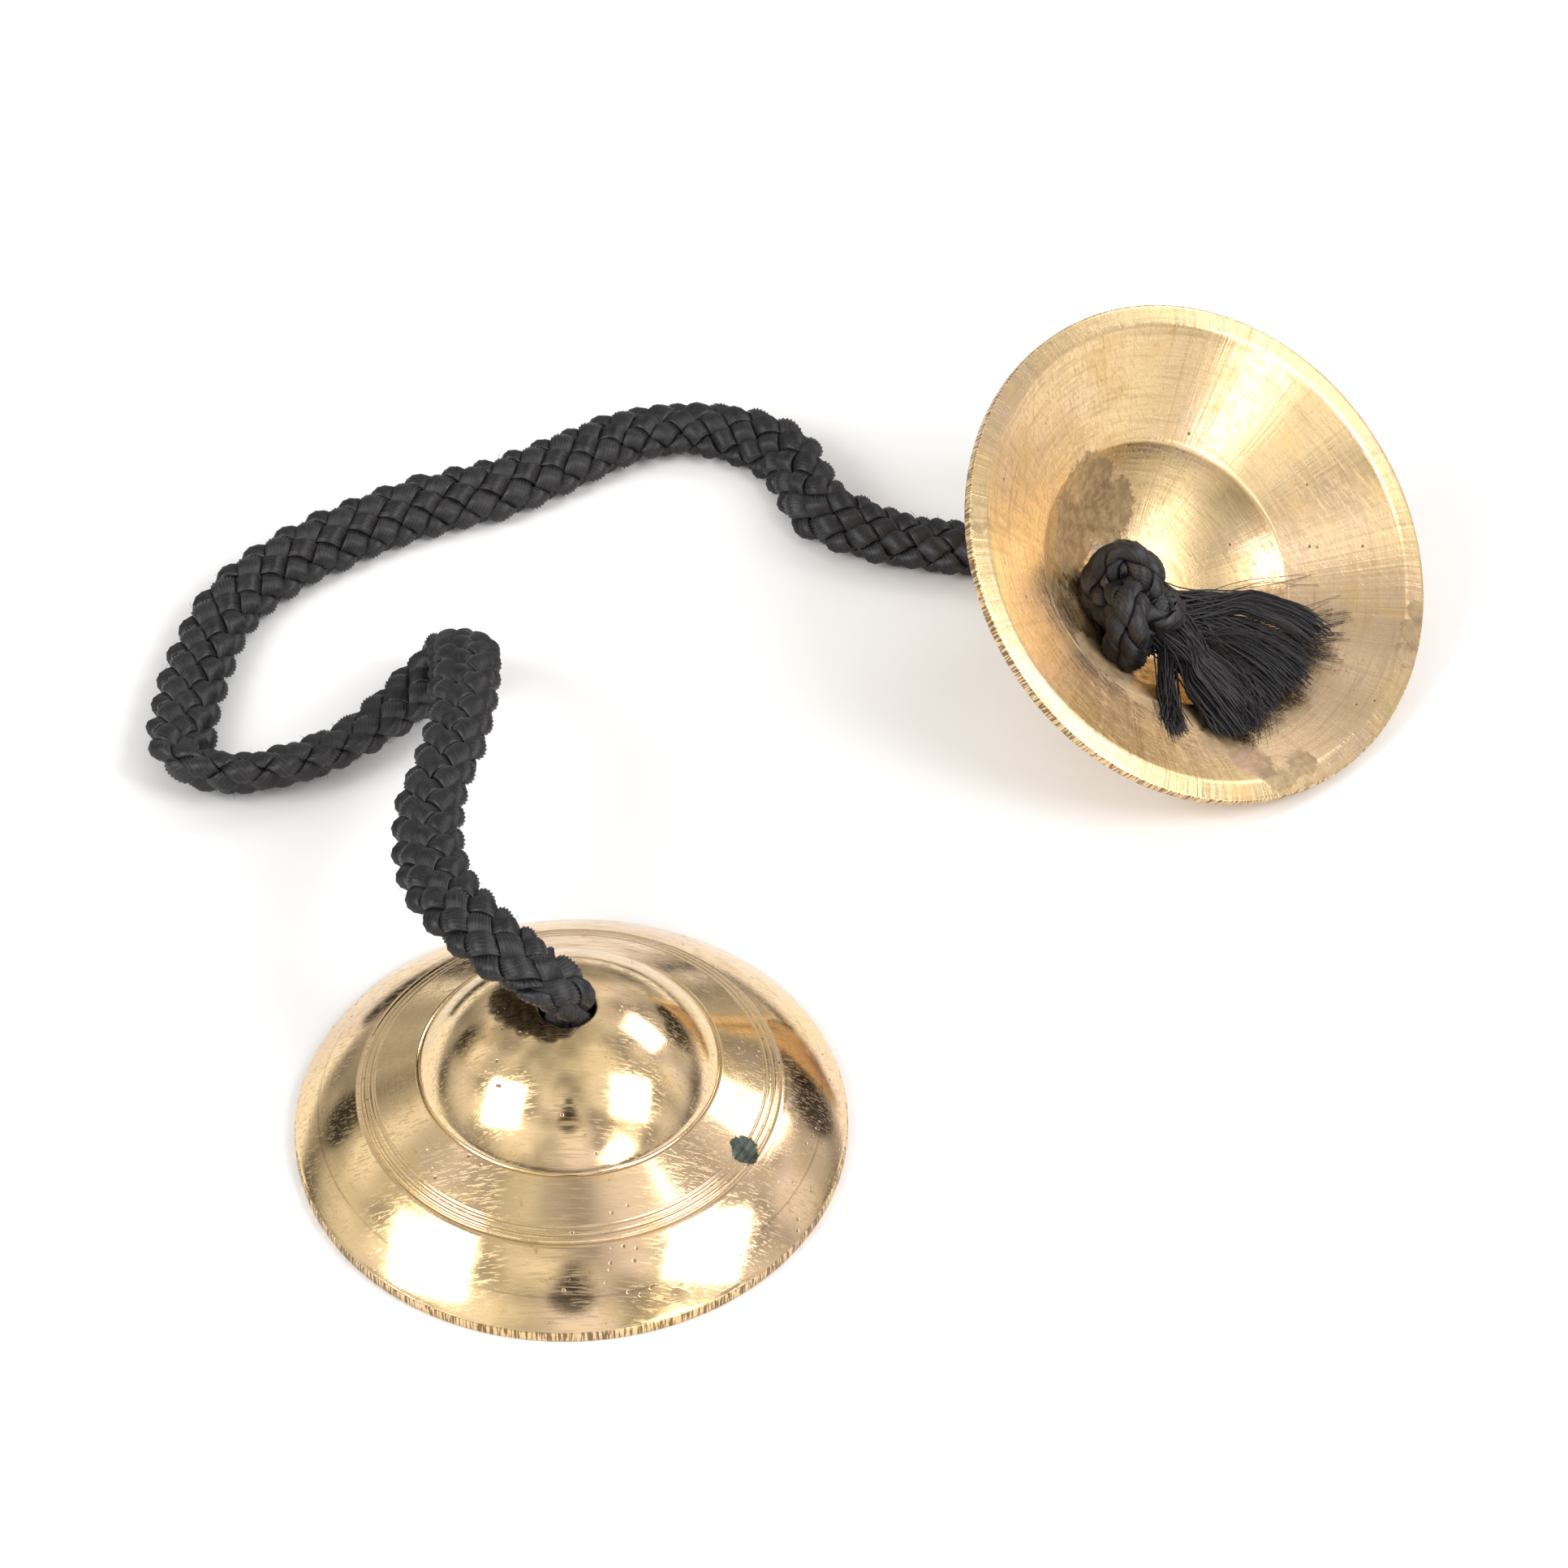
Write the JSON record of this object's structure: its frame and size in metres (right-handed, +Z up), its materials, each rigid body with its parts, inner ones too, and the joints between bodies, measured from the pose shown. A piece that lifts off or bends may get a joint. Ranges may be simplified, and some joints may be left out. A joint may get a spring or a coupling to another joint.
{
  "type": "finger cymbals",
  "caption": "Pair of domed brass hand cymbals with flat lips, joined by a flat black braided cord that is knotted and frayed inside each dome.",
  "frame": {"origin": "middle of the box around the two cymbals, on the surface that they lie on", "axes": "+Z up, away from that surface; -X and -Y towards the cymbal that stands on its lip, +X and +Y towards the one on its back"},
  "size_m": [0.1484, 0.1455, 0.0376],
  "materials": {
    "brass": "polished, with turning marks, fine scratches and spots of tarnish",
    "braid": "matte black eight-strand braid of fine yarns",
    "yarn": "frayed black yarn"
  },
  "bodies": {
    "cord": {"cord": "braid"},
    "left_end": {"cord_neck_left": "braid", "knot_left": "braid", "tassel_left": "yarn"},
    "left_cymbal": {"cymbal_left": "brass"},
    "right_end": {"cord_neck_right": "braid", "knot_right": "braid", "tassel_right": "yarn"},
    "right_cymbal": {"cymbal_right": "brass"}
  },
  "joints": [
    {"name": "left_tip", "type": "hinge", "parent": "cord", "child": "left_end", "pos_m": [-0.034, -0.034, 0.0216], "axis": [0, -1, 0], "range_deg": [-15, 45]},
    {"name": "left_spin", "type": "hinge", "parent": "left_end", "child": "left_cymbal", "pos_m": [-0.034, -0.034, 0], "axis": [0, 0, 1], "continuous": true},
    {"name": "right_tip", "type": "hinge", "parent": "cord", "child": "right_end", "pos_m": [0.0275, 0.046, 0.0026], "axis": [0.6947, 0.7193, 0], "range_deg": [-25, 50]},
    {"name": "right_spin", "type": "hinge", "parent": "right_end", "child": "right_cymbal", "pos_m": [0.037, 0.037, 0.01964], "axis": [0.4328, -0.4179, 0.7988], "continuous": true}
  ]
}
